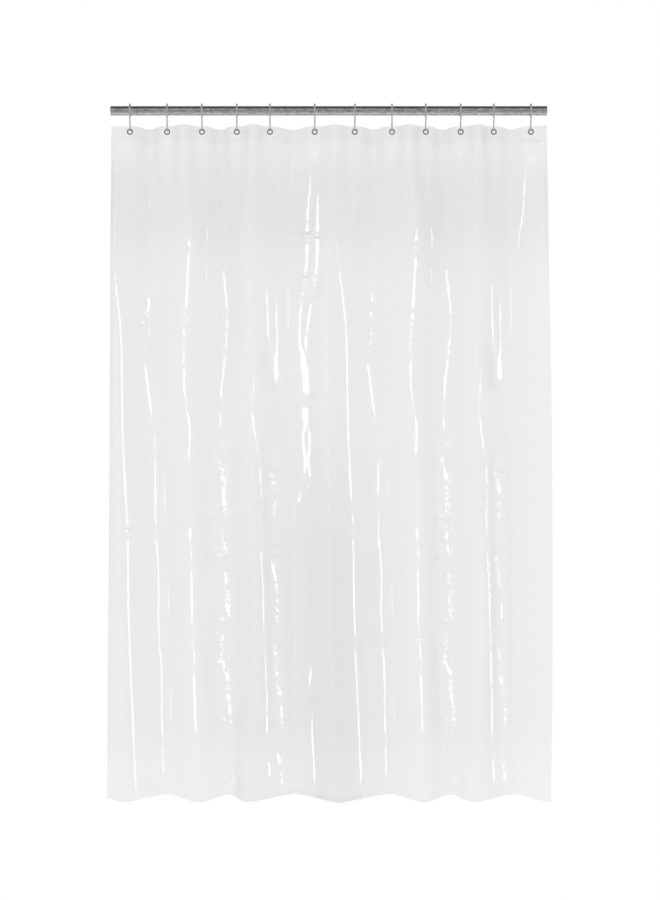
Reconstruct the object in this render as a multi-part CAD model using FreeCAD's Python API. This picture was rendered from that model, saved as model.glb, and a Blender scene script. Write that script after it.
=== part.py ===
import FreeCAD, Part
import math
import os

# Shower curtain liner: a clear film panel on twelve wire hooks, which slide on a round tube.
# Millimetres. Origin: middle of the tube, on its axis. +X runs along the tube, +Z is up,
# and -Y is the side that faces the room. The hooks stand in planes across the tube.

Vec = FreeCAD.Vector
AXIS_X = Vec(1, 0, 0)
AXIS_Y = Vec(0, 1, 0)

# Tube
TUBE_RADIUS = 12.7
TUBE_WALL = 1.2
TUBE_LENGTH = 1187.0
TUBE_BEVEL = 0.3

# Places of the hooks along the tube: the first one, then the gaps to the next
FIRST_HOOK_X = -541.0
HOOK_GAPS = (101.0, 95.0, 95.0, 90.0, 122.0, 109.0, 101.0, 92.0, 95.0, 90.0, 101.0)

# Film panel, as it is cut: width, height and grommet spacing
PANEL_WIDTH = 1778.0
PANEL_HEIGHT = 1829.0
GROMMET_PITCH = 152.4
FILM_THICKNESS = 0.2
HEADER_HEIGHT = 43.0
HEM_WIDTH = 12.0
FILM_HOLE_RADIUS = 5.2

# Film panel, as it hangs
PANEL_TOP_Z = -42.0
EDGE_TO_GROMMET = 15.0
FLAT_HALF_WIDTH = 10.0
FOLD_FACETS = 20
END_FLAP_FACETS = 8
RIGHT_FLAP_SPAN = 42.0

# Grommets: an eyelet with a rolled barrel, and a washer behind the film
GROMMET_RADIUS = 8.5
GROMMET_HOLE_RADIUS = 4.5
BARREL_WALL = 0.5
WASHER_CLEARANCE = 0.05
WASHER_THICKNESS = 0.6
WASHER_BEVEL = 0.2
FLANGE_RIM = 0.35
FLANGE_INNER_RISE = 0.5
FLANGE_CROWN = 1.1
LIP_REACH = 1.3
LIP_RIM = 0.15
LIP_CROWN = 0.8
LIP_INNER_RISE = 0.4

# Hooks: one bent wire with a ball at each end
WIRE_RADIUS = 2.0
BALL_RADIUS = 2.4
TUBE_CLEARANCE = 0.3
FLANK_OFFSET = 5.5
FLANK_DROP = 1.5
CROWN_RADIUS = 5.5
BACK_WRAP_DEG = 32.0
FRONT_WRAP_DEG = 34.0
SPINE_BEND_RADIUS = 14.0
BOWL_RADIUS = 6.0
BOWL_RISE_DEG = 70.0
BOWL_CENTRE_Y = 0.3
HANG_GAP = 0.9

# Worked out from the dimensions above
GROMMET_Z = PANEL_TOP_Z - EDGE_TO_GROMMET
PANEL_BOTTOM_Z = PANEL_TOP_Z - PANEL_HEIGHT
PLY_STACK = 2 * FILM_THICKNESS
EDGE_MARGIN = (PANEL_WIDTH - len(HOOK_GAPS) * GROMMET_PITCH) / 2
HOOK_PLACES = [FIRST_HOOK_X + sum(HOOK_GAPS[:count]) for count in range(len(HOOK_GAPS) + 1)]


def save(shape, name):
    shape.exportStep("parts/" + name + ".step")


def numbered(stem, index):
    return "%s_%02d" % (stem, index + 1)


def tube():
    """Round tube along X with open ends and a small outer bevel at each end."""
    half = TUBE_LENGTH / 2
    inner = TUBE_RADIUS - TUBE_WALL
    outline = [
        (-half, inner),
        (-half, TUBE_RADIUS - TUBE_BEVEL),
        (-half + TUBE_BEVEL, TUBE_RADIUS),
        (half - TUBE_BEVEL, TUBE_RADIUS),
        (half, TUBE_RADIUS - TUBE_BEVEL),
        (half, inner),
    ]
    points = [Vec(x, 0, r) for x, r in outline + outline[:1]]
    section = Part.Face(Part.makePolygon(points))
    return section.revolve(Vec(0, 0, 0), AXIS_X, 360)


def polar(centre, radius, degrees):
    """Point in the hook's plane, given as (y, z), at an angle from +Y towards +Z."""
    turn = math.radians(degrees)
    return (centre[0] + radius * math.cos(turn), centre[1] + radius * math.sin(turn))


def arc_edge(centre, radius, start_deg, end_deg):
    ends = [start_deg, (start_deg + end_deg) / 2, end_deg]
    points = [Vec(0, *polar(centre, radius, degrees)) for degrees in ends]
    return Part.Arc(*points).toShape()


def hook_path():
    """Centre line of the wire, from the tip behind the tube to the tip in front of the grommet.

    Two flank arcs meet the tube's sides and join at a tight crown, so the top is a pointed arch.
    The spine then leans back under the tube and runs into a bowl that passes through the grommet.
    """
    flank_radius = TUBE_RADIUS + TUBE_CLEARANCE + WIRE_RADIUS + math.hypot(FLANK_OFFSET, FLANK_DROP)
    back_centre = (-FLANK_OFFSET, -FLANK_DROP)
    front_centre = (FLANK_OFFSET, -FLANK_DROP)
    to_crown = flank_radius - CROWN_RADIUS
    crown_rise = math.sqrt(to_crown ** 2 - FLANK_OFFSET ** 2)
    crown_centre = (0, crown_rise - FLANK_DROP)
    crown_deg = math.degrees(math.atan2(crown_rise, FLANK_OFFSET))

    spine_start = polar(front_centre, flank_radius, 180 + FRONT_WRAP_DEG)
    lean = math.radians(FRONT_WRAP_DEG)
    leg_y = BOWL_CENTRE_Y + BOWL_RADIUS
    bend_width = SPINE_BEND_RADIUS * (1 - math.cos(lean))
    spine_length = (leg_y - bend_width - spine_start[0]) / math.sin(lean)
    spine_end = (leg_y - bend_width, spine_start[1] - spine_length * math.cos(lean))
    bend_centre = (leg_y - SPINE_BEND_RADIUS, spine_end[1] - SPINE_BEND_RADIUS * math.sin(lean))
    bowl_centre = (BOWL_CENTRE_Y, bowl_bottom_z() + BOWL_RADIUS)

    edges = [
        arc_edge(back_centre, flank_radius, -BACK_WRAP_DEG, crown_deg),
        arc_edge(crown_centre, CROWN_RADIUS, crown_deg, 180 - crown_deg),
        arc_edge(front_centre, flank_radius, 180 - crown_deg, 180 + FRONT_WRAP_DEG),
        Part.makeLine(Vec(0, *spine_start), Vec(0, *spine_end)),
        arc_edge(bend_centre, SPINE_BEND_RADIUS, FRONT_WRAP_DEG, 0),
        Part.makeLine(Vec(0, leg_y, bend_centre[1]), Vec(0, leg_y, bowl_centre[1])),
        arc_edge(bowl_centre, BOWL_RADIUS, 0, -90 - BOWL_RISE_DEG),
    ]
    tips = (
        polar(back_centre, flank_radius, -BACK_WRAP_DEG),
        polar(bowl_centre, BOWL_RADIUS, -90 - BOWL_RISE_DEG),
    )
    return Part.Wire(edges), tips


def bowl_bottom_z():
    """Height of the wire's centre where it passes through the grommet and carries it."""
    return GROMMET_Z + GROMMET_HOLE_RADIUS - HANG_GAP - WIRE_RADIUS


def hook():
    path, tips = hook_path()
    start = path.Edges[0]
    along = start.tangentAt(start.FirstParameter)
    ring = Part.Wire(Part.makeCircle(WIRE_RADIUS, start.valueAt(start.FirstParameter), along))
    wire = path.makePipeShell([ring], True, True)
    balls = [Part.makeSphere(BALL_RADIUS, Vec(0, *tip)) for tip in tips]
    return wire.multiFuse(balls).removeSplitter()


def turned(outline, arcs):
    """Solid of revolution about Y through the grommet's centre.

    outline holds (radius, y) corners in order; arcs maps a corner's number to the point that the
    edge leaving that corner bends through.
    """
    edges = []
    for number, corner in enumerate(outline):
        following = outline[(number + 1) % len(outline)]
        here = Vec(corner[0], corner[1], 0)
        there = Vec(following[0], following[1], 0)
        if number in arcs:
            middle = Vec(arcs[number][0], arcs[number][1], 0)
            edges.append(Part.Arc(here, middle, there).toShape())
        else:
            edges.append(Part.makeLine(here, there))
    solid = Part.Face(Part.Wire(edges)).revolve(Vec(0, 0, 0), AXIS_Y, 360)
    solid.translate(Vec(0, 0, GROMMET_Z))
    return solid


def eyelet():
    """Crowned front flange, barrel through the film, and a lip rolled over the washer."""
    hole = GROMMET_HOLE_RADIUS
    barrel = hole + BARREL_WALL
    washer_back = PLY_STACK + WASHER_THICKNESS
    outline = [
        (GROMMET_RADIUS, 0),
        (GROMMET_RADIUS, -FLANGE_RIM),
        (hole, -FLANGE_INNER_RISE),
        (hole, washer_back + LIP_INNER_RISE),
        (barrel + LIP_REACH, washer_back + LIP_RIM),
        (barrel + LIP_REACH, washer_back),
        (barrel, washer_back),
        (barrel, 0),
    ]
    arcs = {
        1: ((hole + GROMMET_RADIUS) / 2, -FLANGE_CROWN),
        3: ((hole + barrel + LIP_REACH) / 2, washer_back + LIP_CROWN),
    }
    return turned(outline, arcs)


def washer():
    inner = GROMMET_HOLE_RADIUS + BARREL_WALL + WASHER_CLEARANCE
    back = PLY_STACK + WASHER_THICKNESS
    outline = [
        (inner, PLY_STACK),
        (GROMMET_RADIUS, PLY_STACK),
        (GROMMET_RADIUS, back - WASHER_BEVEL),
        (GROMMET_RADIUS - WASHER_BEVEL, back),
        (inner, back),
    ]
    return turned(outline, {})


def fold_points(start_x, span, depth, facets, turns):
    """Points of one fold: a raised cosine, whole for turns = 1 and its first half for 0.5."""
    points = []
    for step in range(1, facets + 1):
        share = step / facets
        points.append((start_x + span * share, depth * (1 - math.cos(2 * math.pi * turns * share)) / 2))
    return points


def run_length(points):
    return sum(math.dist(a, b) for a, b in zip(points, points[1:]))


def fold_of_length(start_x, span, length, side, facets, turns):
    """The fold whose film is the given length: its depth is found by halving an interval."""
    low = 0.0
    high = length
    for _ in range(60):
        depth = (low + high) / 2
        points = fold_points(start_x, span, side * depth, facets, turns)
        if run_length([(start_x, 0.0)] + points) < length:
            low = depth
        else:
            high = depth
    return points


def front_line():
    """The film's front face seen from above: flat at each hook, with a fold in every gap.

    The folds go to the back and to the front in turn, and the free right end goes to the front.
    """
    points = [(HOOK_PLACES[0] - EDGE_MARGIN, 0.0), (HOOK_PLACES[0] - FLAT_HALF_WIDTH, 0.0)]
    side = 1
    for place, gap in zip(HOOK_PLACES, HOOK_GAPS):
        start = place + FLAT_HALF_WIDTH
        points.append((start, 0.0))
        span = gap - 2 * FLAT_HALF_WIDTH
        length = GROMMET_PITCH - 2 * FLAT_HALF_WIDTH
        points.extend(fold_of_length(start, span, length, side, FOLD_FACETS, 1))
        side = -side
    start = HOOK_PLACES[-1] + FLAT_HALF_WIDTH
    points.append((start, 0.0))
    span = RIGHT_FLAP_SPAN - FLAT_HALF_WIDTH
    length = EDGE_MARGIN - FLAT_HALF_WIDTH
    points.extend(fold_of_length(start, span, length, side, END_FLAP_FACETS, 0.5))
    return points


def corner_offsets(points):
    """For each corner, the step to a line one millimetre behind, square to its two runs."""
    steps = []
    for number in range(len(points)):
        before = points[max(number - 1, 0):number + 1]
        after = points[number:number + 2]
        normals = []
        for run in (before, after):
            if len(run) == 2:
                dx = run[1][0] - run[0][0]
                dy = run[1][1] - run[0][1]
                normals.append((-dy / math.hypot(dx, dy), dx / math.hypot(dx, dy)))
        nx = sum(n[0] for n in normals)
        ny = sum(n[1] for n in normals)
        scale = len(normals) / (nx * nx + ny * ny)
        steps.append((nx * scale, ny * scale))
    return steps


def cut_line(points, steps, start, end):
    """The part of the line between two distances along the film, with its offset steps."""
    walked = 0.0
    kept = []
    for number in range(len(points) - 1):
        run = math.dist(points[number], points[number + 1])
        for mark in (start, end):
            if walked < mark < walked + run:
                share = (mark - walked) / run
                dx = (points[number + 1][0] - points[number][0]) / run
                dy = (points[number + 1][1] - points[number][1]) / run
                spot = (points[number][0] + dx * share * run, points[number][1] + dy * share * run)
                kept.append((mark, spot, (-dy, dx)))
        if start <= walked <= end:
            kept.append((walked, points[number], steps[number]))
        walked += run
    if walked <= end:
        kept.append((walked, points[-1], steps[-1]))
    kept.sort(key=lambda entry: entry[0])
    return [entry[1] for entry in kept], [entry[2] for entry in kept]


def ply(points, steps, front, back, low_z, high_z):
    """Upright closed sheet between two distances behind the front line."""
    near = [Vec(p[0] + s[0] * front, p[1] + s[1] * front, low_z) for p, s in zip(points, steps)]
    far = [Vec(p[0] + s[0] * back, p[1] + s[1] * back, low_z) for p, s in zip(points, steps)]
    outline = near + far[::-1] + near[:1]
    return Part.Face(Part.makePolygon(outline)).extrude(Vec(0, 0, high_z - low_z))


def hole_cutters():
    reach = GROMMET_RADIUS
    cutters = []
    for place in HOOK_PLACES:
        start = Vec(place, -reach, GROMMET_Z)
        cutters.append(Part.makeCylinder(FILM_HOLE_RADIUS, 2 * reach, start, AXIS_Y))
    return cutters


def film_plies():
    """The panel, and behind it the welded second ply along its top, sides and bottom."""
    line = front_line()
    steps = corner_offsets(line)
    width = run_length(line)
    cutters = hole_cutters()
    header_z = PANEL_TOP_Z - HEADER_HEIGHT
    hem_z = PANEL_BOTTOM_Z + HEM_WIDTH
    panel = ply(line, steps, 0, FILM_THICKNESS, PANEL_BOTTOM_Z, PANEL_TOP_Z)
    header = ply(line, steps, FILM_THICKNESS, PLY_STACK, header_z, PANEL_TOP_Z)
    left_line = cut_line(line, steps, 0, HEM_WIDTH)
    right_line = cut_line(line, steps, width - HEM_WIDTH, width + 1)
    return {
        "film_panel": panel.cut(cutters),
        "header_band": header.cut(cutters),
        "hem_left": ply(*left_line, FILM_THICKNESS, PLY_STACK, hem_z, header_z),
        "hem_right": ply(*right_line, FILM_THICKNESS, PLY_STACK, hem_z, header_z),
        "hem_bottom": ply(line, steps, FILM_THICKNESS, PLY_STACK, PANEL_BOTTOM_Z, hem_z),
    }


def main():
    os.makedirs("parts", exist_ok=True)
    save(tube(), "rod_tube")
    for name, shape in film_plies().items():
        save(shape, name)
    for stem, shape in (("hook", hook()), ("eyelet", eyelet()), ("washer", washer())):
        for index, place in enumerate(HOOK_PLACES):
            save(shape.translated(Vec(place, 0, 0)), numbered(stem, index))


main()
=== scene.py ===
import math
import random

import bmesh
import bpy
import numpy as np
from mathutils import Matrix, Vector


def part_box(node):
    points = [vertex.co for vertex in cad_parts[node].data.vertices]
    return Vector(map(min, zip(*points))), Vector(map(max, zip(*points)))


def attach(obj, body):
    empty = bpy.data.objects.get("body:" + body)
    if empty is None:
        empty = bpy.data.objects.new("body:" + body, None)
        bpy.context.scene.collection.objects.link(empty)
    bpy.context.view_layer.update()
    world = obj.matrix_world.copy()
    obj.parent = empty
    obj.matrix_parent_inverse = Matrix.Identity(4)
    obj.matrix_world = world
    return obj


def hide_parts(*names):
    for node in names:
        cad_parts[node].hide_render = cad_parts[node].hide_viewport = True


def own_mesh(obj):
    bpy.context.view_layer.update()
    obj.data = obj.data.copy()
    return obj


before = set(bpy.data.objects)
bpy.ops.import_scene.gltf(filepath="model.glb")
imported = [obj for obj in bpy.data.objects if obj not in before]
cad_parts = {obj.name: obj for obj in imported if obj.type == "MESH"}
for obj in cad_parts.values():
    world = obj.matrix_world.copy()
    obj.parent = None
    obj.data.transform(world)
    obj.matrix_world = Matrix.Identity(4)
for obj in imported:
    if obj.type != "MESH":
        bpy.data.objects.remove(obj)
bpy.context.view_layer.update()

# ----------------------------------------------------------------------------
# Sizes, in metres. s runs along the film's width from its left edge, t runs down
# from its top edge. x, y, z are the frame's own.
# ----------------------------------------------------------------------------
FILM_WIDTH = 1.778
FILM_HEIGHT = 1.829
FIRST_GROMMET_S = 0.0508
GROMMET_PITCH = 0.1524
GROMMET_T = 0.015
HOLE_RADIUS = 0.0052
FLAT_HALF = 0.010  # half of the flat piece of top edge at each grommet
HEADER_T = 0.043
HEM = 0.012
# how far the middle of each ply lies behind the panel's front face
PANEL_MID = 0.0001
SECOND_PLY = 0.0003
SIDE_PLY = 0.0004
# where the film's right edge hangs, from the last hook
EDGE_PAST_HOOK = 0.042

HOOKS = ["hook_%02d" % k for k in range(1, 13)]
EYELETS = ["eyelet_%02d" % k for k in range(1, 13)]
WASHERS = ["washer_%02d" % k for k in range(1, 13)]


def node_x(name):
    low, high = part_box(name)
    return (low.x + high.x) / 2


HOOK_X = [node_x(name) for name in HOOKS]
TOP_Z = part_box("film_panel")[1].z
LEFT_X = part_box("film_panel")[0].x
RIGHT_X = HOOK_X[-1] + EDGE_PAST_HOOK


# ----------------------------------------------------------------------------
# Nodes and materials
# ----------------------------------------------------------------------------
def new_material(name):
    mat = bpy.data.materials.new(name)
    mat.use_nodes = True
    tree = mat.node_tree
    tree.nodes.clear()
    out = tree.nodes.new("ShaderNodeOutputMaterial")
    bsdf = tree.nodes.new("ShaderNodeBsdfPrincipled")
    tree.links.new(bsdf.outputs[0], out.inputs[0])
    return mat, tree, bsdf


def put(tree, socket, value):
    if isinstance(value, bpy.types.NodeSocket):
        tree.links.new(value, socket)
    else:
        socket.default_value = value


def math_node(tree, kind, a, b=0.0, clamp=False):
    node = tree.nodes.new("ShaderNodeMath")
    node.operation = kind
    node.use_clamp = clamp
    put(tree, node.inputs[0], a)
    put(tree, node.inputs[1], b)
    return node.outputs[0]


def scaled(tree, vector, scale):
    mapping = tree.nodes.new("ShaderNodeMapping")
    tree.links.new(vector, mapping.inputs["Vector"])
    mapping.inputs["Scale"].default_value = scale
    return mapping.outputs[0]


def coordinates(tree, kind, scale=(1.0, 1.0, 1.0)):
    coord = tree.nodes.new("ShaderNodeTexCoord")
    return scaled(tree, coord.outputs[kind], scale)


def separated(tree, vector):
    parts = tree.nodes.new("ShaderNodeSeparateXYZ")
    tree.links.new(vector, parts.inputs[0])
    return parts.outputs


def noise(tree, vector, scale, detail=3.0, roughness=0.5):
    node = tree.nodes.new("ShaderNodeTexNoise")
    tree.links.new(vector, node.inputs["Vector"])
    node.inputs["Scale"].default_value = scale
    node.inputs["Detail"].default_value = detail
    node.inputs["Roughness"].default_value = roughness
    return node.outputs["Fac"]


def spread(tree, fac, low, high, source_low=0.3, source_high=0.7):
    """Maps source_low..source_high to low..high, and no further."""
    node = tree.nodes.new("ShaderNodeMapRange")
    put(tree, node.inputs["Value"], fac)
    node.inputs["From Min"].default_value = source_low
    node.inputs["From Max"].default_value = source_high
    node.inputs["To Min"].default_value = low
    node.inputs["To Max"].default_value = high
    return node.outputs[0]


def ramp(tree, fac, stops):
    node = tree.nodes.new("ShaderNodeValToRGB")
    put(tree, node.inputs["Fac"], fac)
    while len(node.color_ramp.elements) < len(stops):
        node.color_ramp.elements.new(1.0)
    for element, (place, colour) in zip(node.color_ramp.elements, stops):
        element.position = place
        element.color = (*colour, 1.0)
    return node.outputs["Color"]


def grey_ramp(tree, fac, stops):
    return ramp(tree, fac, [(place, (value, value, value)) for place, value in stops])


def bump(tree, bsdf, height, distance, strength=1.0):
    node = tree.nodes.new("ShaderNodeBump")
    node.inputs["Strength"].default_value = strength
    node.inputs["Distance"].default_value = distance
    tree.links.new(height, node.inputs["Height"])
    tree.links.new(node.outputs[0], bsdf.inputs["Normal"])


# Painted shade on the film: extra opacity darkens it near the top and in a band down the middle
# front fold, and less opacity lightens it at the right edge and low down.
TONE_DEPTH = 0.28
TONE_MIDDLE = 0.5  # the value of the height ramp that leaves the haze as it is
MIDDLE_SHARE = 0.62
EDGE_SHARE = 0.2
LOWER_FADE = (0.35, 0.62)
EDGE_FADE = (0.90, 0.98)
# painted shade against height (darker above the middle value, lighter below it), from the bottom
# edge (0) to the top edge (1)
HEIGHT_TONES = ((0.0, 0.26), (0.055, 0.32), (0.10, 0.49), (0.55, 0.47), (0.76, 0.49), (0.81, 0.64),
                (0.86, 0.92), (0.92, 0.92), (0.96, 0.66), (1.0, 0.60))
# extra painted shade across the width, a dark band at the middle front fold, from the left edge (0)
# to the right edge (1)
MIDDLE_TONES = ((0.0, 0.0), (0.26, 0.0), (0.33, 0.42), (0.43, 0.42), (0.475, 1.0), (0.52, 1.0),
                (0.58, 0.42), (0.68, 0.0), (0.90, 0.0))


def painted_shade_tone(tree):
    """Painted shade on the film: denser, so darker, near the top and in a band down the middle
    front fold; thinner, so lighter, at the right edge and low.
    """
    coord = tree.nodes.new("ShaderNodeTexCoord")
    parts = separated(tree, coord.outputs["UV"])
    across, up = parts["X"], parts["Y"]
    height = grey_ramp(tree, up, HEIGHT_TONES)
    middle = grey_ramp(tree, across, MIDDLE_TONES)
    lower = spread(tree, up, 1.0, 0.0, *LOWER_FADE)
    right = spread(tree, across, 0.0, 1.0, *EDGE_FADE)
    tone = math_node(tree, "MULTIPLY", math_node(tree, "SUBTRACT", height, TONE_MIDDLE), TONE_DEPTH)
    band = math_node(tree, "MULTIPLY", math_node(tree, "MULTIPLY", middle, lower),
                     TONE_DEPTH * MIDDLE_SHARE)
    edge = math_node(tree, "MULTIPLY", right, TONE_DEPTH * EDGE_SHARE)
    return math_node(tree, "SUBTRACT", math_node(tree, "ADD", tone, band), edge)


HANDLED_ROUGHNESS = 0.30
# where it fades: below the top edge, away from the left edge, and lower down the left edge
HANDLED_TOP = (0.125, 0.050)
HANDLED_LEFT = (0.045, 0.075)
HANDLED_UPPER = (0.34, 0.26)


def handled(tree, metres):
    """Extra roughness at the header and the top of the left edge, where the film is rubbed."""
    parts = separated(tree, metres)
    across, up = parts["X"], parts["Y"]
    top, upper = [spread(tree, up, 0.0, 1.0, FILM_HEIGHT - start, FILM_HEIGHT - stop)
                  for start, stop in (HANDLED_TOP, HANDLED_UPPER)]
    left = spread(tree, across, 1.0, 0.0, *HANDLED_LEFT)
    corner = math_node(tree, "MULTIPLY", left, upper)
    return math_node(tree, "MULTIPLY", math_node(tree, "MAXIMUM", top, corner), HANDLED_ROUGHNESS)


GRAZING_POWER = 3.5
FILM_IOR = 2.4  # above a real film's, because one sheet gives the glints of both faces


def film_material(name, alpha_low, alpha_high, grazing):
    """Clear film with a slight haze: faint drawn streaks along its length, and soft patches, plus
    painted shade that is darker near the top and down the middle and lighter right and low.
    """
    mat, tree, bsdf = new_material(name)
    metres = coordinates(tree, "UV", (FILM_WIDTH, FILM_HEIGHT, 1.0))
    drawn_out = scaled(tree, metres, (1.0, 0.035, 1.0))
    streaks = noise(tree, drawn_out, scale=95.0, detail=4.0, roughness=0.6)
    wide = noise(tree, drawn_out, scale=22.0, detail=2.0, roughness=0.5)
    patches = noise(tree, metres, scale=4.5, detail=3.0, roughness=0.55)
    fine = noise(tree, metres, scale=900.0, detail=2.0, roughness=0.5)
    drawn = math_node(tree, "MULTIPLY", math_node(tree, "MULTIPLY", streaks, patches), 0.5)
    both = math_node(tree, "ADD", drawn, math_node(tree, "MULTIPLY", wide, 0.3))
    both = math_node(tree, "ADD", both, math_node(tree, "MULTIPLY", patches, 0.45))
    # the opacity carries the random haze and the painted shade
    haze = math_node(tree, "ADD", spread(tree, both, alpha_low, alpha_high), painted_shade_tone(tree))
    weight = tree.nodes.new("ShaderNodeLayerWeight")
    weight.inputs["Blend"].default_value = 0.5
    steep = math_node(tree, "POWER", weight.outputs["Facing"], GRAZING_POWER)
    steep = math_node(tree, "MULTIPLY", steep, grazing)
    alpha = math_node(tree, "ADD", haze, steep, clamp=True)
    tree.links.new(alpha, bsdf.inputs["Alpha"])
    colour = ramp(tree, both, [(0.3, (0.915, 0.92, 0.925)), (0.7, (0.96, 0.96, 0.965))])
    tree.links.new(colour, bsdf.inputs["Base Color"])
    rough = math_node(tree, "ADD", spread(tree, fine, 0.11, 0.15), handled(tree, metres))
    tree.links.new(rough, bsdf.inputs["Roughness"])
    bsdf.inputs["IOR"].default_value = FILM_IOR
    height = math_node(tree, "ADD", math_node(tree, "MULTIPLY", streaks, 0.8),
                       math_node(tree, "MULTIPLY", fine, 0.04))
    bump(tree, bsdf, height, distance=0.00012)
    return mat


METAL_GRAIN = 0.00003
METAL_GRAIN_STRENGTH = 0.7


def new_metal(name):
    mat, tree, bsdf = new_material(name)
    bsdf.inputs["Metallic"].default_value = 1.0
    return mat, tree, bsdf


def chrome_material():
    """Bright plated tube with fine lengthwise drawing marks, shallow dents and handling smudges."""
    mat, tree, bsdf = new_metal("plated_tube")
    stretched = coordinates(tree, "Object", (0.6, 1.0, 1.0))
    more_stretched = coordinates(tree, "Object", (0.4, 1.0, 1.0))
    lines = noise(tree, stretched, scale=2600.0, detail=3.0, roughness=0.65)
    smudge = noise(tree, more_stretched, scale=190.0, detail=5.0, roughness=0.65)
    dents = noise(tree, coordinates(tree, "Object"), scale=95.0, detail=3.0, roughness=0.55)
    colour = grey_ramp(tree, smudge, ((0.36, 0.42), (0.64, 0.80)))
    tree.links.new(colour, bsdf.inputs["Base Color"])
    rough = math_node(tree, "ADD", spread(tree, lines, 0.06, 0.14), spread(tree, smudge, 0.0, 0.06))
    tree.links.new(rough, bsdf.inputs["Roughness"])
    height = math_node(tree, "ADD", math_node(tree, "MULTIPLY", lines, 0.08), dents)
    bump(tree, bsdf, height, distance=0.00022)
    return mat


def wire_material():
    """Plated hook wire, dulled a little in places."""
    mat, tree, bsdf = new_metal("plated_wire")
    place = coordinates(tree, "Object")
    draw = noise(tree, place, scale=900.0, detail=3.0, roughness=0.6)
    wear = noise(tree, place, scale=140.0, detail=3.0, roughness=0.55)
    colour = ramp(tree, wear, [(0.35, (0.62, 0.62, 0.62)), (0.7, (0.80, 0.80, 0.79))])
    tree.links.new(colour, bsdf.inputs["Base Color"])
    tree.links.new(spread(tree, draw, 0.16, 0.30), bsdf.inputs["Roughness"])
    bump(tree, bsdf, draw, distance=METAL_GRAIN, strength=METAL_GRAIN_STRENGTH)
    return mat


def steel_material(name, dark, light):
    """Pressed steel between two greys."""
    mat, tree, bsdf = new_metal(name)
    place = coordinates(tree, "Object")
    grain = noise(tree, place, scale=1500.0, detail=3.0, roughness=0.6)
    tint = noise(tree, place, scale=180.0, detail=3.0, roughness=0.5)
    tree.links.new(grey_ramp(tree, tint, ((0.35, dark), (0.65, light))), bsdf.inputs["Base Color"])
    tree.links.new(spread(tree, grain, 0.20, 0.34), bsdf.inputs["Roughness"])
    bump(tree, bsdf, grain, distance=METAL_GRAIN, strength=METAL_GRAIN_STRENGTH)
    return mat


def paint(names, mat):
    """Gives CAD nodes a material."""
    for name in names:
        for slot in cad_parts[name].material_slots:
            slot.link = "OBJECT"
            slot.material = mat


# ----------------------------------------------------------------------------
# The film's shape. Each height has a section, a line from the left edge to the
# right edge, that turns at the folds named here. Front folds have y below 0.
# ----------------------------------------------------------------------------
CRISP = 0.25
REPEAT_X = 0.612
LEVELS = (0.0, 0.34, 0.69, 1.02, 1.43, 1.829)
# each turn's place and its depth at these levels, and how crisp it is (0 round, 0.5 a corner)
TURNS = (
    ((-0.592, -0.595, -0.597, -0.598, -0.601, -0.603),
     (0.0, 0.004, 0.006, 0.004, 0.0, -0.004), CRISP),
    ((-0.587, -0.582, -0.577, -0.570, -0.562, -0.553),
     (-0.001, -0.010, -0.022, -0.030, -0.038, -0.044), CRISP),
    ((-0.486, -0.497, -0.506, -0.483, -0.468, -0.443),
     (0.052, 0.054, 0.052, 0.052, 0.050, 0.048), CRISP),
    ((-0.391, -0.372, -0.388, -0.372, -0.362, -0.347),
     (-0.052, -0.052, -0.050, -0.050, -0.050, -0.050), CRISP),
    ((-0.301, -0.292, -0.299, -0.296, -0.290, -0.271),
     (0.050, 0.048, 0.050, 0.050, 0.048, 0.048), CRISP),
    ((-0.214, -0.216, -0.212, -0.202, -0.196, -0.224),
     (-0.050, -0.052, -0.050, -0.048, -0.046, -0.044), CRISP),
    ((-0.105, -0.112, -0.116, -0.104, -0.099, -0.092),
     (0.055, 0.056, 0.056, 0.054, 0.052, 0.052), CRISP),
    ((0.017, 0.001, -0.002, 0.001, 0.009, 0.027),
     (-0.050, -0.052, -0.050, -0.050, -0.050, -0.052), 0.45),
    ((0.126, 0.109, 0.104, 0.129, 0.145, 0.170),
     (0.050, 0.050, 0.050, 0.052, 0.052, 0.052), CRISP),
    ((0.216, 0.239, 0.224, 0.240, 0.247, 0.259),
     (-0.050, -0.050, -0.050, -0.050, -0.050, -0.050), CRISP),
    ((0.305, 0.320, 0.313, 0.317, 0.325, 0.333),
     (0.050, 0.050, 0.050, 0.048, 0.048, 0.048), CRISP),
    ((0.403, 0.397, 0.400, 0.410, 0.416, 0.389),
     (-0.050, -0.050, -0.050, -0.048, -0.048, -0.046), CRISP),
    ((0.490, 0.493, 0.496, 0.506, 0.509, 0.510),
     (0.050, 0.050, 0.050, 0.050, 0.050, 0.050), CRISP),
    ((0.591, 0.595, 0.602, 0.605, 0.605, 0.600),
     (-0.040, -0.036, -0.034, -0.036, -0.040, -0.046), CRISP),
)
SECTION_STEP = 0.001
ROW_STEP = 0.01
FINE_STEP = 0.0025


def smooth(levels, values, t):
    """Smooth curve through given values at the levels."""
    levels = np.asarray(levels, float)
    values = np.asarray(values, float)
    slopes = np.gradient(values, levels)
    t = np.clip(t, levels[0], levels[-1])
    k = np.clip(np.searchsorted(levels, t, side="right") - 1, 0, len(levels) - 2)
    width = levels[k + 1] - levels[k]
    q = (t - levels[k]) / width
    a = (1 + 2 * q) * (1 - q) ** 2
    b = q * (1 - q) ** 2
    c = q * q * (3 - 2 * q)
    d = q * q * (q - 1)
    return a * values[k] + b * width * slopes[k] + c * values[k + 1] + d * width * slopes[k + 1]


def ease(value, low, high):
    """0 below low, 1 above high, smooth between them."""
    q = np.clip((value - low) / (high - low), 0.0, 1.0)
    return q * q * (3 - 2 * q)


TURN_POINTS = 60


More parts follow.
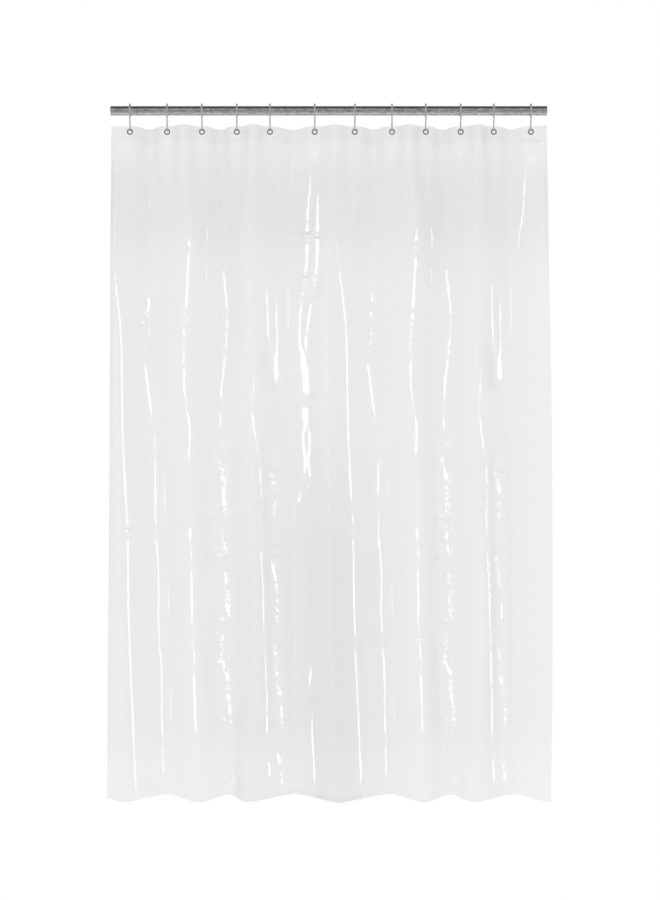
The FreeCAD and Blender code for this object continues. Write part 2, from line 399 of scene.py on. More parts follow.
def turn_line(turns, crisps):
    """Points of a section through its turns, close together.

    Between two turns the curve blends a round fold with a crisper start and end.
    """
    xs, ys = [turns[0][0]], [turns[0][1]]
    for number in range(len(turns) - 1):
        (xa, ya), (xb, yb) = turns[number], turns[number + 1]
        q = np.linspace(0, 1, TURN_POINTS + 1)[1:]
        round_part = (1 - np.cos(np.pi * q)) / 2
        start, stop = crisps[number], crisps[number + 1]
        both = (1 - start - stop) if start + stop < 1 else 0.0
        shape = both * round_part + start * np.sin(np.pi * q / 2)
        shape = shape + stop * (1 - np.cos(np.pi * q / 2))
        shape = shape / (both + start + stop)
        xs.extend(xa + (xb - xa) * q)
        ys.extend(ya + (yb - ya) * shape)
    return np.array(xs), np.array(ys)


def curve_length(xs, ys):
    return np.hypot(np.diff(xs), np.diff(ys)).sum()


def by_length(xs, ys, marks):
    """The curve's points at these lengths along it, and the length at each of its own points."""
    walked = np.concatenate([[0], np.cumsum(np.hypot(np.diff(xs), np.diff(ys)))])
    return np.interp(marks, walked, xs), np.interp(marks, walked, ys), walked


def settle(low, high, steps, too_small):
    """Halves low..high towards the value at which too_small turns false."""
    for _ in range(steps):
        middle = (low + high) / 2
        if too_small(middle):
            low = middle
        else:
            high = middle
    return middle


DEPTH_SCALES = (0.3, 2.5)
SCALE_STEPS = 24
DEPTH_STEPS = 30
FOLD_POINTS = 81


def section_at(t, marks):
    """The section at one height, with its folds as deep as the film's width makes them."""
    places = [smooth(LEVELS, turn[0], t) for turn in TURNS]
    depths = [smooth(LEVELS, turn[1], t) for turn in TURNS]
    crisps = [turn[2] for turn in TURNS]

    def line(scale):
        return turn_line([(x, y * scale) for x, y in zip(places, depths)], crisps)

    def too_short(scale):
        return curve_length(*line(scale)) < FILM_WIDTH

    scale = settle(*DEPTH_SCALES, SCALE_STEPS, too_short)
    x, y, walked = by_length(*line(scale), marks)
    return x, y, walked[::TURN_POINTS]


def fold_of_length(span, length, half_waves):
    """A fold with this length along its curve, as one half wave or two."""
    q = np.linspace(0, 1, FOLD_POINTS)

    def wave(depth):
        return depth * (1 - np.cos(half_waves * np.pi * q)) / 2

    def too_short(depth):
        return curve_length(q * span, wave(depth)) < length

    depth = settle(0.0, length, DEPTH_STEPS, too_short)
    return q * span, wave(depth)


EDGE_TURN_S = 0.012  # where the section's second turn lies along the top edge


def top_section(marks):
    """The section along the top edge: flat at each hook, a fold in every gap."""
    xs, ys = [LEFT_X, HOOK_X[0] - FLAT_HALF], [0.0, 0.0]
    side = 1
    for k in range(len(HOOK_X) - 1):
        start = HOOK_X[k] + FLAT_HALF
        span = HOOK_X[k + 1] - FLAT_HALF - start
        x, y = fold_of_length(span, GROMMET_PITCH - 2 * FLAT_HALF, 2)
        xs.extend(start + x)
        ys.extend(side * y)
        side = -side
    start = HOOK_X[-1] + FLAT_HALF
    x, y = fold_of_length(RIGHT_X - start, FIRST_GROMMET_S - FLAT_HALF, 1)
    xs.extend(start + x)
    ys.extend(side * y)
    x, y, _ = by_length(np.array(xs), np.array(ys), marks)
    middles = [FIRST_GROMMET_S + GROMMET_PITCH * (k + 0.5) for k in range(len(HOOK_X) - 1)]
    return x, y, np.array([0.0, EDGE_TURN_S] + middles + [FILM_WIDTH])


# ----------------------------------------------------------------------------
# Creases. A crease is a narrow facet that runs down the film. Each row holds its
# half width, the lengths over which it starts and ends, and its path as (t, x)
# points. The first set occurs twice, once in each half.
# ----------------------------------------------------------------------------
BOTH_HALVES = (
    (0.0058, 0.15, 0.01, ((0.342, -0.590), (0.405, -0.581), (0.473, -0.573), (0.541, -0.566),
                          (0.609, -0.563), (0.746, -0.561), (0.882, -0.557), (0.964, -0.553),
                          (1.067, -0.547), (1.291, -0.543), (1.427, -0.539), (1.632, -0.530),
                          (1.829, -0.522))),
    (0.0053, 0.02, 0.03, ((0.440, -0.492), (0.473, -0.494), (0.527, -0.498))),
    (0.0075, 0.02, 0.06, ((0.623, -0.507), (0.677, -0.500), (0.746, -0.492), (0.833, -0.479))),
    (0.0050, 0.06, 0.05, ((0.800, -0.483), (0.833, -0.479), (1.005, -0.476), (1.086, -0.475),
                          (1.223, -0.467), (1.392, -0.466), (1.460, -0.460), (1.632, -0.458),
                          (1.820, -0.452))),
    (0.0034, 0.05, 0.02, ((0.901, -0.451), (1.086, -0.447))),
    (0.0034, 0.03, 0.02, ((1.214, -0.440), (1.373, -0.437))),
    (0.0034, 0.05, 0.03, ((1.495, -0.433), (1.659, -0.430))),
    (0.0064, 0.02, 0.04, ((0.278, -0.374), (0.326, -0.376), (0.391, -0.380), (0.473, -0.384),
                          (0.555, -0.390), (0.650, -0.391), (0.732, -0.388), (0.800, -0.377),
                          (0.946, -0.377))),
    (0.0056, 0.04, 0.02, ((1.055, -0.378), (1.065, -0.377), (1.223, -0.371), (1.385, -0.369))),
    (0.0060, 0.02, 0.03, ((1.392, -0.368), (1.400, -0.367), (1.536, -0.362), (1.670, -0.358))),
    (0.0030, 0.05, 0.05, ((0.228, -0.334), (0.337, -0.331), (0.473, -0.337))),
    (0.0058, 0.08, 0.02, ((0.318, -0.296), (0.418, -0.286), (0.527, -0.278), (0.596, -0.282),
                          (0.637, -0.286), (0.746, -0.296), (0.840, -0.297))),
    (0.0077, 0.01, 0.02, ((0.893, -0.306), (0.923, -0.296), (0.955, -0.289), (0.983, -0.290),
                          (1.068, -0.284))),
    (0.0071, 0.01, 0.01, ((1.080, -0.290), (1.119, -0.289), (1.174, -0.282))),
    (0.0077, 0.01, 0.01, ((1.210, -0.285), (1.269, -0.279), (1.318, -0.279), (1.350, -0.271))),
    (0.0077, 0.02, 0.01, ((1.380, -0.290), (1.441, -0.293), (1.468, -0.290), (1.495, -0.279),
                          (1.536, -0.279), (1.591, -0.271), (1.640, -0.269))),
    (0.0088, 0.02, 0.01, ((1.750, -0.272), (1.760, -0.271), (1.815, -0.257))),
    (0.0053, 0.12, 0.02, ((0.541, -0.209), (0.637, -0.203), (0.827, -0.201), (0.895, -0.190),
                          (0.983, -0.184), (1.100, -0.186), (1.136, -0.185))),
    (0.0050, 0.01, 0.02, ((1.136, -0.185), (1.236, -0.179), (1.345, -0.176), (1.473, -0.171),
                          (1.577, -0.168), (1.659, -0.167), (1.700, -0.165))),
    (0.0066, 0.01, 0.02, ((1.700, -0.165), (1.740, -0.163), (1.815, -0.160))),
    (0.0048, 0.05, 0.02, ((0.391, -0.171), (0.473, -0.168), (0.582, -0.163), (0.665, -0.150))),
    (0.0048, 0.05, 0.05, ((0.432, -0.141), (0.473, -0.143), (0.582, -0.141), (0.640, -0.142))),
    (0.0150, 0.03, 0.04, ((0.590, -0.144), (0.640, -0.143), (0.730, -0.143))),
    (0.0085, 0.02, 0.02, ((0.930, -0.160), (0.942, -0.158), (0.996, -0.146), (1.010, -0.144))),
    (0.0062, 0.03, 0.03, ((1.000, -0.148), (1.080, -0.148))),
    (0.0074, 0.02, 0.02, ((1.160, -0.158), (1.236, -0.146), (1.280, -0.138))),
    (0.0055, 0.03, 0.03, ((1.270, -0.140), (1.370, -0.140))),
    (0.0085, 0.02, 0.02, ((1.400, -0.147), (1.460, -0.145), (1.570, -0.131))),
    (0.0062, 0.03, 0.03, ((1.560, -0.130), (1.660, -0.127))),
    (0.0074, 0.02, 0.01, ((1.700, -0.143), (1.760, -0.130), (1.815, -0.129))),
    (0.0038, 0.06, 0.06, ((0.391, -0.111), (0.609, -0.111))),
)
ONCE = (
    (0.0077, 0.24, 0.03, ((0.052, -0.034), (0.119, -0.047), (0.200, -0.054), (0.298, -0.059),
                          (0.337, -0.059), (0.391, -0.062), (0.446, -0.070), (0.500, -0.078),
                          (0.555, -0.080), (0.609, -0.078), (0.664, -0.067), (0.705, -0.060),
                          (0.745, -0.056))),
    (0.0077, 0.24, 0.03, ((0.060, -0.032), (0.119, -0.031), (0.200, -0.030), (0.298, -0.031),
                          (0.364, -0.032), (0.418, -0.037), (0.473, -0.046), (0.527, -0.056),
                          (0.582, -0.062), (0.620, -0.062))),
    (0.0177, 0.06, 0.02, ((0.580, -0.077), (0.635, -0.069), (0.677, -0.064), (0.745, -0.061))),
    (0.0165, 0.01, 0.04, ((0.755, -0.066), (0.767, -0.065), (0.840, -0.062))),
    (0.0083, 0.04, 0.02, ((0.800, -0.067), (0.827, -0.068), (0.868, -0.069), (0.909, -0.064),
                          (0.950, -0.067), (0.991, -0.075), (1.035, -0.085))),
    (0.0071, 0.03, 0.03, ((0.805, -0.056), (0.868, -0.052), (0.909, -0.056), (0.950, -0.052),
                          (1.000, -0.059))),
    (0.0064, 0.04, 0.02, ((1.441, -0.046), (1.509, -0.051), (1.570, -0.059))),
    (0.0052, 0.06, 0.01, ((1.563, -0.046), (1.632, -0.046), (1.700, -0.043), (1.795, -0.037),
                          (1.829, -0.035))),
    (0.0038, 0.04, 0.03, ((0.031, 0.547), (0.064, 0.543), (0.146, 0.534), (0.228, 0.531),
                          (0.309, 0.520), (0.360, 0.516))),
    (0.0033, 0.06, 0.06, ((0.270, 0.021), (0.300, 0.022), (0.370, 0.027), (0.430, 0.033),
                          (0.480, 0.039), (0.530, 0.046))),
)


def shifted(path):
    """The same path in the right half."""
    return tuple((t, x + REPEAT_X) for t, x in path)


CREASES = BOTH_HALVES + ONCE + tuple(
    (half, rise, fall, shifted(path)) for half, rise, fall, path in BOTH_HALVES)
WANDER_LENGTHS = (0.16, 0.085, 0.05)
WANDER_PEAK = 1.6


FACET_SLOPE = -0.105
FACET_TURN = -0.146  # change of slope for each metre to the right


def facet_tilt(x):
    """Slope dy/dx that the facets settle at."""
    return FACET_SLOPE + FACET_TURN * x


def wander(t, seed, reach):
    """A slow wobble down the film, the same for the same seed."""
    rng = random.Random(seed)
    total = 0.0
    for length in WANDER_LENGTHS:
        phase = rng.uniform(0, 2 * math.pi)
        total += np.sin(2 * math.pi * t / length + phase) * rng.uniform(0.5, 1.0)
    return reach * total / WANDER_PEAK


def fade(path, rise, fall, t):
    """From 0 at the ends of a path to 1 along it."""
    first, last = path[0][0], path[-1][0]
    return ease(t, first, first + rise) * (1 - ease(t, last - fall, last))


def path_x(path, t):
    return smooth([p[0] for p in path], [p[1] for p in path], t)


# Pads: small flat places beside a buckle. (t, x, half width, half height)
PADS_BOTH = (
    (0.955, -0.292, 0.010, 0.006), (1.062, -0.303, 0.012, 0.005), (1.171, -0.303, 0.012, 0.006),
    (1.241, -0.283, 0.010, 0.007), (1.346, -0.292, 0.013, 0.005), (1.462, -0.300, 0.012, 0.007),
    (1.622, -0.288, 0.010, 0.006), (0.905, -0.302, 0.010, 0.007),
    (1.100, -0.549, 0.009, 0.005), (1.115, -0.545, 0.008, 0.004),
    (1.105, -0.376, 0.010, 0.004), (1.392, -0.371, 0.010, 0.005),
    (0.530, -0.511, 0.008, 0.006), (0.500, -0.498, 0.008, 0.006), (0.560, -0.497, 0.008, 0.005),
    (0.610, -0.498, 0.007, 0.006),
    (0.062, -0.484, 0.006, 0.004),
)
PADS_ONCE = (
    (0.298, -0.045, 0.017, 0.004), (0.418, -0.052, 0.012, 0.006), (0.436, -0.058, 0.012, 0.005),
    (0.455, -0.064, 0.012, 0.006),
    (0.048, 0.580, 0.010, 0.004),
)
PADS = PADS_BOTH + PADS_ONCE + tuple((t, x + REPEAT_X, w, h) for t, x, w, h in PADS_BOTH)


# Bands: wide flattened places in which the film is crinkled. (half width, slope, path)
BANDS_BOTH = (
    (0.020, 0.22, ((0.82, -0.293), (1.07, -0.292), (1.30, -0.284), (1.46, -0.289), (1.70, -0.277))),
    (0.016, 0.35, ((0.84, -0.146), (1.20, -0.143), (1.50, -0.137), (1.815, -0.130))),
    (0.017, 0.22, ((0.38, -0.508), (0.50, -0.506), (0.63, -0.508))),
)
BANDS = BANDS_BOTH + tuple((half, slope, shifted(path)) for half, slope, path in BANDS_BOTH)
BAND_FADE = 0.07
# powers that set how sharply a flat place ends
SOFT_EDGE = 4
FACET_EDGE = 6


def band_window(x, t):
    """How flattened a row is by the bands, from 0 to 1, and the slope it settles at."""
    window, slope = np.zeros_like(x), np.zeros_like(x)
    for half, settles, path in BANDS:
        strength = fade(path, BAND_FADE, BAND_FADE, t)
        if strength > 0:
            here = np.exp(-((x - path_x(path, t)) / half) ** SOFT_EDGE) * strength
            slope = np.where(here > window, settles, slope)
            window = np.maximum(window, here)
    return window, slope


PAD_TALL = 1.6
CENTRE_SEED = 40
CENTRE_WANDER = 0.0005
WIDTH_SEED = 90
WIDTH_WANDER = 0.15
END_WIDTH = 0.02  # share of its width that a crease has at its very ends


def facet_window(x, t):
    """How flattened a row is by the creases and pads, from 0 to 1."""
    window = np.zeros_like(x)
    for number, (half, rise, fall, path) in enumerate(CREASES):
        if not path[0][0] < t < path[-1][0]:
            continue
        centre = path_x(path, t) + wander(t, CENTRE_SEED + number, CENTRE_WANDER)
        width = half * (1 + WIDTH_WANDER * wander(t, WIDTH_SEED + number, 1.0))
        width *= END_WIDTH + (1 - END_WIDTH) * fade(path, rise, fall, t)
        window = np.maximum(window, np.exp(-((x - centre) / width) ** FACET_EDGE))
    for pad_t, pad_x, width, height in PADS:
        tall = PAD_TALL * height
        if abs(t - pad_t) < 2 * tall:
            here = np.exp(-((x - pad_x) / width) ** SOFT_EDGE - ((t - pad_t) / tall) ** SOFT_EDGE)
            window = np.maximum(window, here)
    return window


# Crinkled places: (t from, t to, x at the first, x at the last, half width, how many short ridges)
CRINKLES_BOTH = (
    (0.270, 0.360, -0.378, -0.377, 0.012, 12),
    (0.430, 0.580, -0.510, -0.512, 0.022, 26),
    (0.500, 0.660, -0.384, -0.386, 0.009, 22),
    (0.500, 0.660, -0.278, -0.284, 0.009, 16),
    (0.850, 1.070, -0.296, -0.288, 0.014, 26),
    (1.070, 1.380, -0.288, -0.280, 0.013, 36),
    (1.380, 1.660, -0.288, -0.276, 0.014, 34),
    (0.860, 1.160, -0.152, -0.148, 0.015, 36),
    (1.160, 1.480, -0.148, -0.142, 0.015, 44),
    (1.480, 1.800, -0.136, -0.130, 0.012, 26),
    (1.080, 1.130, -0.549, -0.546, 0.008, 6),
)
CRINKLES_ONCE = (
    (0.410, 0.470, -0.044, -0.054, 0.010, 5),
    (0.290, 0.330, 0.020, 0.022, 0.010, 5),
)
# Places that need close rows of points: (t from, t to, x at the first, x at the last, half width)
CLOSE_ROWS = ((0.040, 1.040, -0.042, -0.070, 0.022),)
CRINKLES = CRINKLES_BOTH + CRINKLES_ONCE + tuple(
    (t0, t1, x0 + REPEAT_X, x1 + REPEAT_X, w, n) for t0, t1, x0, x1, w, n in CRINKLES_BOTH)
RIDGE_SEED = 7
RIDGE_HEIGHT = 0.0009
RIDGE_LENGTHS = (0.005, 0.011)
RIDGE_WIDTHS = (0.0024, 0.0040)
RIDGE_SHARES = (0.5, 1.2)
RIDGE_REACH = 2.5
# a ladder of small even ripples across one crease
LADDER_X = -0.388
LADDER_HALF = 0.008
LADDER_START = (0.50, 0.52)
LADDER_END = (0.60, 0.63)
LADDER_PITCH = 0.0125
LADDER_HEIGHT = 0.00035


def ridges():
    """Short ridges at seeded places: t, x, direction, length, width, height."""
    rng = random.Random(RIDGE_SEED)
    made = []
    for t0, t1, x0, x1, width, count in CRINKLES:
        for _ in range(count):
            share = rng.random()
            made.append((t0 + (t1 - t0) * share,
                         x0 + (x1 - x0) * share + rng.uniform(-width, width),
                         rng.uniform(-1.0, 1.0),
                         rng.uniform(*RIDGE_LENGTHS),
                         rng.uniform(*RIDGE_WIDTHS),
                         RIDGE_HEIGHT * rng.choice((-1, 1)) * rng.uniform(*RIDGE_SHARES)))
    return made


RIDGES = ridges()


def ridge_shift(x, t):
    """How far the ridges and the ladders push the film along y."""
    shift = np.zeros_like(x)
    for rt, rx, angle, along, across, height in RIDGES:
        reach = RIDGE_REACH * along
        near = np.flatnonzero((np.abs(t - rt) < reach) & (np.abs(x - rx) < reach))
        if len(near) == 0:
            continue
        dt, dx = t[near] - rt, x[near] - rx
        p = dt * math.sin(angle) + dx * math.cos(angle)
        q = -dt * math.cos(angle) + dx * math.sin(angle)
        shift[near] += height * np.exp(-(p / along) ** 2 - (q / across) ** 2)
    for offset in (0.0, REPEAT_X):
        u = x - (LADDER_X + offset)
        window = ease(t, *LADDER_START) * (1 - ease(t, *LADDER_END))
        window = window * np.exp(-(u / LADDER_HALF) ** 2)
        shift += LADDER_HEIGHT * np.cos(2 * math.pi * t / LADDER_PITCH) * window
    return shift


FLAT_BLEND = (0.026, 0.24)  # heights between which the top edge's section gives way
# a fold stays as it is where it is this short, this little flattened or this shallow
FEWEST_STEPS = 3
FAINT = 1e-3
LEAST_DEPTH = 0.004


class Film:
    """Holds the film's sections on a close grid and gives any point of the sheet."""

    def __init__(self):
        self.marks = np.linspace(0, FILM_WIDTH, int(round(FILM_WIDTH / SECTION_STEP)) + 1)
        coarse = np.linspace(0, FILM_HEIGHT, int(round(FILM_HEIGHT / ROW_STEP)) + 1)
        top_x, top_y, top_turns = top_section(self.marks)
        sections = []
        for t in coarse:
            low_x, low_y, low_turns = section_at(t, self.marks)
            share = ease(t, *FLAT_BLEND)
            sections.append([top + (low - top) * share for top, low in
                             ((top_x, low_x), (top_y, low_y), (top_turns, low_turns))])
        self.rows = np.linspace(0, FILM_HEIGHT, int(round(FILM_HEIGHT / FINE_STEP)) + 1)
        place = np.clip(self.rows / FILM_HEIGHT * (len(coarse) - 1), 0, len(coarse) - 1.000001)
        index = place.astype(int)
        part = (place - index)[:, None]
        tables = [np.array([section[k] for section in sections]) for k in range(3)]
        self.x, self.y, turns = [
            table[index] * (1 - part) + table[index + 1] * part for table in tables]
        for number, t in enumerate(self.rows):
            self.facet_row(number, t, turns[number])

    def facet_row(self, number, t, turns):
        """Flattens the row where a band, crease or pad crosses it.

        The film between the flat places gets evenly steeper, so each fold keeps its depth.
        """
        x, y = self.x[number], self.y[number]
        middle = (x[1:] + x[:-1]) / 2
        run, rise = np.diff(x), np.diff(y)
        band, band_slope = band_window(middle, t)
        facet = facet_window(middle, t)
        free = rise * (1 - band) * (1 - facet)
        flat = (band_slope * band * (1 - facet) + facet_tilt(middle) * facet) * run
        made = rise.copy()
        cuts = np.clip(np.round(turns / FILM_WIDTH * len(run)).astype(int), 0, len(run))
        for first, last in zip(cuts, cuts[1:]):
            if last - first < FEWEST_STEPS or (band[first:last] + facet[first:last]).max() < FAINT:
                continue
            total = free[first:last].sum()
            if abs(total) < LEAST_DEPTH:
                continue
            gain = (rise[first:last].sum() - flat[first:last].sum()) / total
            made[first:last] = gain * free[first:last] + flat[first:last]
        self.y[number] = y[0] + np.concatenate([[0], np.cumsum(made)])

    def sample(self, table, s, t):
        """A table's value at any points of the sheet."""
        a = np.clip(s / FILM_WIDTH, 0, 1) * (len(self.marks) - 1)
        b = np.clip(t / FILM_HEIGHT, 0, 1) * (len(self.rows) - 1)
        i = np.clip(a.astype(int), 0, len(self.marks) - 2)
        j = np.clip(b.astype(int), 0, len(self.rows) - 2)
        fa, fb = a - i, b - j
        upper = table[j, i] * (1 - fa) + table[j, i + 1] * fa
        lower = table[j + 1, i] * (1 - fa) + table[j + 1, i + 1] * fa
        return upper * (1 - fb) + lower * fb


FILM = Film()


NORMAL_STEP = 0.0008
SAG = 0.0018
WIDE_GAP = 4  # hooks 5 and 6 stand furthest apart, and the top edge sags most between them
WIDE_SAG = 2.2
SAG_FADE = 0.5
# the lower edge lifts at the back folds and drops at the front ones
LIFT_DEPTH = 0.05
LIFT = 0.0035
LIFT_FROM = 1.45


def folded(s, t):
    x = FILM.sample(FILM.x, s, t)
    return x, FILM.sample(FILM.y, s, t) + ridge_shift(x, t)


def film_points(s, t, behind):
    """Points of the sheet, a distance behind the panel's front face."""
    x, y = folded(s, t)
    xa, ya = folded(np.clip(s - NORMAL_STEP, 0, FILM_WIDTH), t)
    xb, yb = folded(np.clip(s + NORMAL_STEP, 0, FILM_WIDTH), t)
    dx, dy = xb - xa, yb - ya
    size = np.hypot(dx, dy)
    nx, ny = -dy / size, dx / size
    number = (s - FIRST_GROMMET_S) / GROMMET_PITCH
    gap = number % 1.0
    inside = (number > 0) & (number < len(HOOKS) - 1)
    sag = np.where(inside, SAG * np.sin(np.pi * gap) ** 2, 0.0)
    sag = np.where((number > WIDE_GAP) & (number < WIDE_GAP + 1), sag * WIDE_SAG, sag)
    z = TOP_Z - t - sag * (1 - ease(t, 0.0, SAG_FADE))
    z = z + y / LIFT_DEPTH * LIFT * ease(t, LIFT_FROM, FILM_HEIGHT)
    return np.stack([x + nx * behind, y + ny * behind, z], axis=1)


# ----------------------------------------------------------------------------
# Meshes of the sheet
# ----------------------------------------------------------------------------
COLUMNS = 476
CREASE_PULL = 2.4
CREASE_SPREAD = 0.009
CREASE_REACH = 0.06
# where the columns go between even and crowded: below the top edge, and above the lower edge
EVEN_TOP = (0.05, 0.12)
EVEN_BOTTOM = (0.05, HEM + 0.002)
CRINKLE_CUTS = 4
TINY = 1e-6
# heights of the rows down the header, how many follow, and the last ones up from the lower edge
HEADER_ROWS = (0.0, 0.003, 0.006, 0.0085, 0.0105, 0.0125, 0.015, 0.0175, 0.0195, 0.0215, 0.024,
               0.029, 0.036, HEADER_T)
MIDDLE_ROWS = 114
HEM_ROWS = (0.008, 0.004, 0.0)


def row_marks(t0, t1):
    """Where the rows stand between two heights."""
    middle = np.linspace(HEADER_T, FILM_HEIGHT - HEM, MIDDLE_ROWS)[1:]
    hem = [FILM_HEIGHT - up for up in HEM_ROWS]
    return [t for t in [*HEADER_ROWS, *middle, *hem] if t0 - TINY <= t <= t1 + TINY]


def column_marks(t):
    """Where the columns stand at one height: closer together at the creases."""
    s = FILM.marks
    x = FILM.sample(FILM.x, s, np.full_like(s, t))
    density = np.ones_like(s)
    for _, _, _, path in CREASES:
        first, last = path[0][0], path[-1][0]
        presence = ease(t, first - CREASE_REACH, first) * (1 - ease(t, last, last + CREASE_REACH))
        if presence > 0:
            near = np.exp(-((x - path_x(path, t)) / CREASE_SPREAD) ** 2)
            density = np.maximum(density, 1 + CREASE_PULL * presence * near)
    below, above = [FILM_HEIGHT - up for up in EVEN_BOTTOM]
    even = (1 - ease(t, *EVEN_TOP)) + ease(t, below, above)
    density = 1 + (density - 1) * (1 - even)
    total = np.concatenate([[0], np.cumsum((density[1:] + density[:-1]) / 2)])
    return np.interp(np.linspace(0, total[-1], COLUMNS + 1), total, s)


def flat_grid(t0, t1, columns=None):
    """A flat grid in (s, t), as a bmesh with x = s and z = -t. A side hem gives its own columns."""
    bm = bmesh.new()
    verts = []
    for t in row_marks(t0, t1):
        marks = column_marks(t) if columns is None else columns
        verts.append([bm.verts.new((s, 0, -t)) for s in marks])
    for j in range(len(verts) - 1):
        for i in range(len(verts[j]) - 1):
            bm.faces.new((verts[j][i], verts[j + 1][i], verts[j + 1][i + 1], verts[j][i + 1]))
    return bm


STRIP_COLUMNS = 7
LEFT_STRIP = np.linspace(0, HEM, STRIP_COLUMNS)
RIGHT_STRIP = np.linspace(FILM_WIDTH - HEM, FILM_WIDTH, STRIP_COLUMNS)
# the grid goes inside this radius, and the hole's rim is looked for this far out and this far down
HOLE_CLEAR = 0.0068
RIM_REACH = 0.0115
TOP_CLEAR = 0.0005


def punch_holes(bm):
    """Cuts the round grommet holes: takes out the middle and draws a neat ring in to the hole."""
    for number in range(len(HOOKS)):
        centre = FIRST_GROMMET_S + GROMMET_PITCH * number

        def away(vert):
            return math.hypot(vert.co.x - centre, vert.co.z + GROMMET_T)

        bmesh.ops.delete(bm, geom=[v for v in bm.verts if away(v) < HOLE_CLEAR], context="VERTS")
        rim = [e for e in bm.edges if e.is_boundary and all(
            away(v) < RIM_REACH and v.co.z < -TOP_CLEAR for v in e.verts)]
        made = bmesh.ops.extrude_edge_only(bm, edges=rim)
        for v in [g for g in made["geom"] if isinstance(g, bmesh.types.BMVert)]:
            dx, dz = v.co.x - centre, v.co.z + GROMMET_T
            size = math.hypot(dx, dz)
            v.co.x = centre + dx / size * HOLE_RADIUS
            v.co.z = -GROMMET_T + dz / size * HOLE_RADIUS


# how far the closer rows reach past a pad and past a crinkled place, along t and x
PAD_MARGIN = (0.012, 0.002)
CRINKLE_MARGIN = (0.01, 0.003)


def refine(bm):
    """Closer rows where the film is crinkled."""
    centres = np.array([f.calc_center_median() for f in bm.faces])
    s, t = centres[:, 0], -centres[:, 2]
    x = FILM.sample(FILM.x, s, t)
    pick = np.zeros(len(s), bool)
    more_t, more_x = PAD_MARGIN
    for pad_t, pad_x, width, height in PADS:
        pick |= (np.abs(t - pad_t) < height + more_t) & (np.abs(x - pad_x) < width + more_x)
    more_t, more_x = CRINKLE_MARGIN
    for t0, t1, x0, x1, width in [row[:5] for row in CRINKLES] + list(CLOSE_ROWS):
        share = np.clip((t - t0) / (t1 - t0), 0, 1)
        middle = x0 + (x1 - x0) * share
        pick |= (t > t0 - more_t) & (t < t1 + more_t) & (np.abs(x - middle) < width + more_x)
    faces = [f for f, wanted in zip(bm.faces, pick) if wanted]
    upright = [e for f in faces for e in f.edges if abs(e.verts[0].co.z - e.verts[1].co.z) > TINY]
    edges = list(dict.fromkeys(upright))
    bmesh.ops.subdivide_edges(bm, edges=edges, cuts=CRINKLE_CUTS, use_grid_fill=True)


def sheet_object(name, bm, behind, mat):
    """Hangs a flat grid as one ply of the film, with the flat sheet as its UV map."""
    flat = np.array([v.co for v in bm.verts])
    s, t = flat[:, 0], -flat[:, 2]
    uv = bm.loops.layers.uv.new("UVMap")
    for face in bm.faces:
        for loop in face.loops:
            loop[uv].uv = (loop.vert.co.x / FILM_WIDTH, 1 + loop.vert.co.z / FILM_HEIGHT)
    points = film_points(s, t, behind)
    for v, p in zip(bm.verts, points):
        v.co = p
    for face in bm.faces:
        face.smooth = True
    mesh = bpy.data.meshes.new(name)
    bm.to_mesh(mesh)
    bm.free()
    mesh.materials.append(mat)
    obj = bpy.data.objects.new(name, mesh)
    bpy.context.scene.collection.objects.link(obj)
    return obj


film_skin = film_material("clear_film", alpha_low=0.368, alpha_high=0.412, grazing=0.35)
weld_skin = film_material("clear_film_ply", alpha_low=0.045, alpha_high=0.075, grazing=0.10)

panel_grid = flat_grid(0, FILM_HEIGHT)
punch_holes(panel_grid)
refine(panel_grid)
panel = sheet_object("film_sheet", panel_grid, PANEL_MID, film_skin)

header_grid = flat_grid(0, HEADER_T)
punch_holes(header_grid)
header = sheet_object("header_ply", header_grid, SECOND_PLY, weld_skin)
bottom_hem = sheet_object(
    "bottom_hem_ply", flat_grid(FILM_HEIGHT - HEM, FILM_HEIGHT), SECOND_PLY, weld_skin)
left_hem = sheet_object(
    "left_hem_ply", flat_grid(HEADER_T, FILM_HEIGHT - HEM, LEFT_STRIP), SIDE_PLY, weld_skin)
right_hem = sheet_object(
    "right_hem_ply", flat_grid(HEADER_T, FILM_HEIGHT - HEM, RIGHT_STRIP), SIDE_PLY, weld_skin)

plies = (
    (panel, "film_panel", "film"),
    (header, "header_band", "welded_film"),
    (bottom_hem, "hem_bottom", "welded_film"),
    (left_hem, "hem_left", "welded_film"),
    (right_hem, "hem_right", "welded_film"),
)
for piece, node, slot_name in plies:
    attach(piece, "curtain")
    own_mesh(piece)
    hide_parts(node)

paint(["rod_tube"], chrome_material())
paint(HOOKS, wire_material())
paint(EYELETS, steel_material("pressed_steel", dark=0.38, light=0.50))
paint(WASHERS, steel_material("washer_steel", dark=0.42, light=0.52))

# ----------------------------------------------------------------------------
# Stage, light and camera
# ----------------------------------------------------------------------------
WHITE = 1.0
# the room that the object reflects, against the height of the direction (-1 down, 1 up)
ROOM_TONES = ((-1.0, 1.05), (-0.93, 0.84), (-0.63, 0.62), (-0.23, 0.49), (0.19, 0.53), (0.59, 0.58),
              (0.80, 0.38), (0.92, 0.15), (1.0, 0.08))
FLOOR_HALF = 40.0
FLOOR_GAP = 0.09
STRIP_DISTANCE = 8.0
STRIP_LOW, STRIP_HIGH = -5.5, 3.6
STRIP_WIDTH = 0.30
STRIP_RADIANCE = 8.5


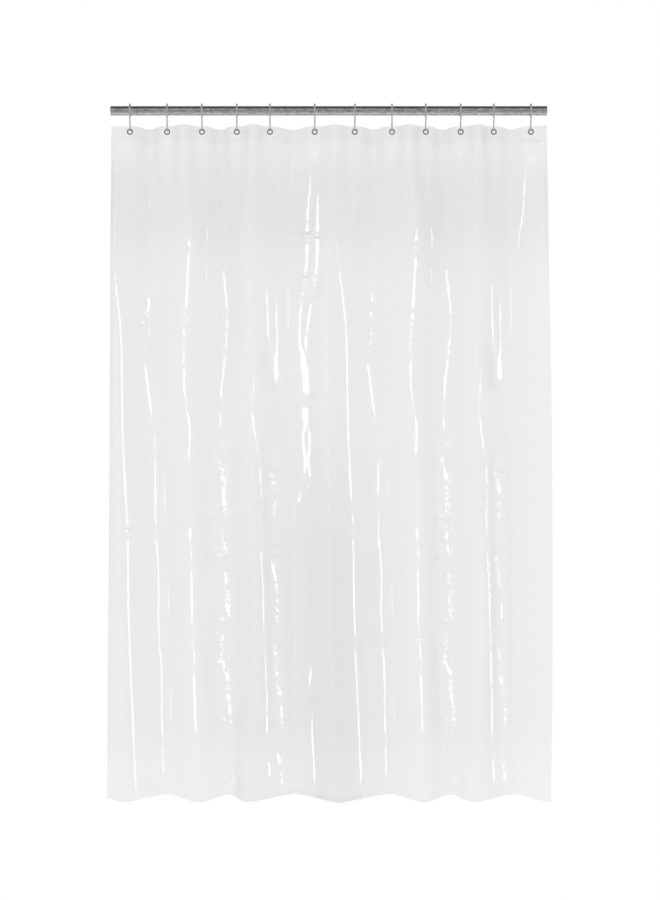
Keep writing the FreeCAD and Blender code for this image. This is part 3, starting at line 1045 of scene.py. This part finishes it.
def make_world():
    """White behind the object, and a plain grey room for its reflections, brighter at the sides."""
    world = bpy.data.worlds.new("studio")
    bpy.context.scene.world = world
    world.use_nodes = True
    tree = world.node_tree
    tree.nodes.clear()
    out = tree.nodes.new("ShaderNodeOutputWorld")
    mix = tree.nodes.new("ShaderNodeMixShader")
    seen = tree.nodes.new("ShaderNodeBackground")
    seen.inputs["Color"].default_value = (WHITE, WHITE, WHITE, 1)
    room = tree.nodes.new("ShaderNodeBackground")
    path = tree.nodes.new("ShaderNodeLightPath")
    coord = tree.nodes.new("ShaderNodeTexCoord")
    parts = separated(tree, coord.outputs["Generated"])
    height = math_node(tree, "MULTIPLY_ADD", parts["Z"], 0.5)
    height.node.inputs[2].default_value = 0.5
    grey = grey_ramp(tree, height, [(0.5 + 0.5 * z, tone) for z, tone in ROOM_TONES])
    side = math_node(tree, "ABSOLUTE", parts["X"])
    gain = spread(tree, side, low=0.75, high=1.2, source_low=0.05, source_high=0.75)
    tree.links.new(grey, room.inputs["Color"])
    tree.links.new(gain, room.inputs["Strength"])
    tree.links.new(path.outputs["Is Camera Ray"], mix.inputs["Fac"])
    tree.links.new(room.outputs[0], mix.inputs[1])
    tree.links.new(seen.outputs[0], mix.inputs[2])
    tree.links.new(mix.outputs[0], out.inputs[0])


def make_floor():
    """A plain white floor for the camera only, so that it doesn't light the film."""
    z = TOP_Z - FILM_HEIGHT - FLOOR_GAP
    corners = [(x * FLOOR_HALF, y * FLOOR_HALF, z) for x, y in ((-1, -1), (1, -1), (1, 1), (-1, 1))]
    mesh = bpy.data.meshes.new("floor")
    mesh.from_pydata(corners, [], [(0, 1, 2, 3)])
    floor = bpy.data.objects.new("floor", mesh)
    bpy.context.scene.collection.objects.link(floor)
    mat = bpy.data.materials.new("pale_floor")
    mat.use_nodes = True
    tree = mat.node_tree
    tree.nodes.clear()
    out = tree.nodes.new("ShaderNodeOutputMaterial")
    glow = tree.nodes.new("ShaderNodeEmission")
    glow.inputs["Color"].default_value = (WHITE, WHITE, WHITE, 1)
    tree.links.new(glow.outputs[0], out.inputs[0])
    mesh.materials.append(mat)
    floor.visible_glossy = False
    floor.visible_diffuse = False
    floor.visible_shadow = False


def strip_light(name, azimuth, receivers):
    """A tall soft strip at an angle from straight in front, lighting these pieces only."""
    turn = math.radians(azimuth)
    tall = STRIP_HIGH - STRIP_LOW
    data = bpy.data.lights.new(name, "AREA")
    data.shape = "RECTANGLE"
    data.size = STRIP_WIDTH
    data.size_y = tall
    data.energy = STRIP_RADIANCE * math.pi * STRIP_WIDTH * tall
    lamp = bpy.data.objects.new(name, data)
    lamp.location = (math.sin(turn) * STRIP_DISTANCE, -math.cos(turn) * STRIP_DISTANCE,
                     (STRIP_LOW + STRIP_HIGH) / 2)
    lamp.rotation_euler = (math.pi / 2, 0, turn)
    lamp.visible_camera = False
    bpy.context.scene.collection.objects.link(lamp)
    lamp.light_linking.receiver_collection = receivers


make_world()
make_floor()
film_only = bpy.data.collections.new("lit_by_strips")
for piece, _, _ in plies:
    film_only.objects.link(piece)
strip_light("strip_front", -12, film_only)
strip_light("strip_back", 165, film_only)

LENS = 88.2
CAMERA_PLACE = (0.0034, -6.0, -0.923)
SEE_THROUGH_LAYERS = 64

camera_data = bpy.data.cameras.new("camera")
camera_data.lens = LENS
camera_data.sensor_width = 36
camera = bpy.data.objects.new("camera", camera_data)
camera.location = CAMERA_PLACE
camera.rotation_euler = (math.pi / 2, 0, 0)
bpy.context.scene.collection.objects.link(camera)
bpy.context.scene.camera = camera
bpy.context.scene.view_settings.view_transform = "Standard"
bpy.context.scene.cycles.transparent_max_bounces = SEE_THROUGH_LAYERS
